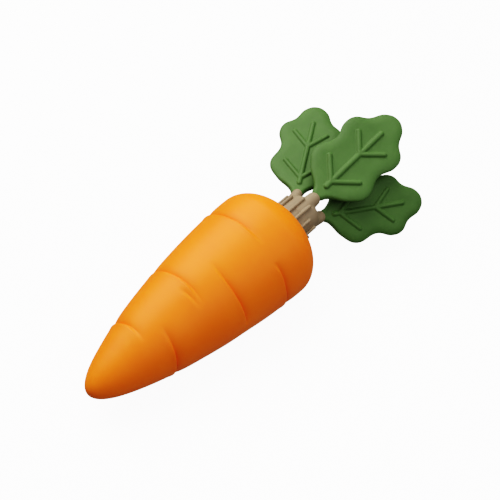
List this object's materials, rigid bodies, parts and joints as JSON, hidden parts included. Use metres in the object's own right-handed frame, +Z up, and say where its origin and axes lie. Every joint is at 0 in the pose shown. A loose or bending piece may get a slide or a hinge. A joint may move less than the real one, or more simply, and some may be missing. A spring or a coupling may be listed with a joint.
{
  "type": "carrot",
  "caption": "Stylised carrot lying on its side: a plump tapering root with soft creases, a ribbed crown of cut stalks and puffy lobed leaves with raised veins.",
  "frame": {"origin": "on the ground under the middle of the object's bounding box", "axes": "+X along the carrot from the root's tip to the leaves, +Y across it, +Z up"},
  "size_m": [0.2422, 0.0872, 0.0654],
  "materials": {
    "root_skin": "soft satin orange skin, slightly lighter where it is raised and deeper in the creases",
    "stalk": "dry matte taupe stalk with faint lengthwise grain",
    "leaf": "soft satin green leaf"
  },
  "bodies": {
    "root": {"taproot": "root_skin", "crown": "stalk", "leaf_left": "leaf", "leaf_centre": "leaf", "leaf_right": "leaf"}
  },
  "joints": []
}
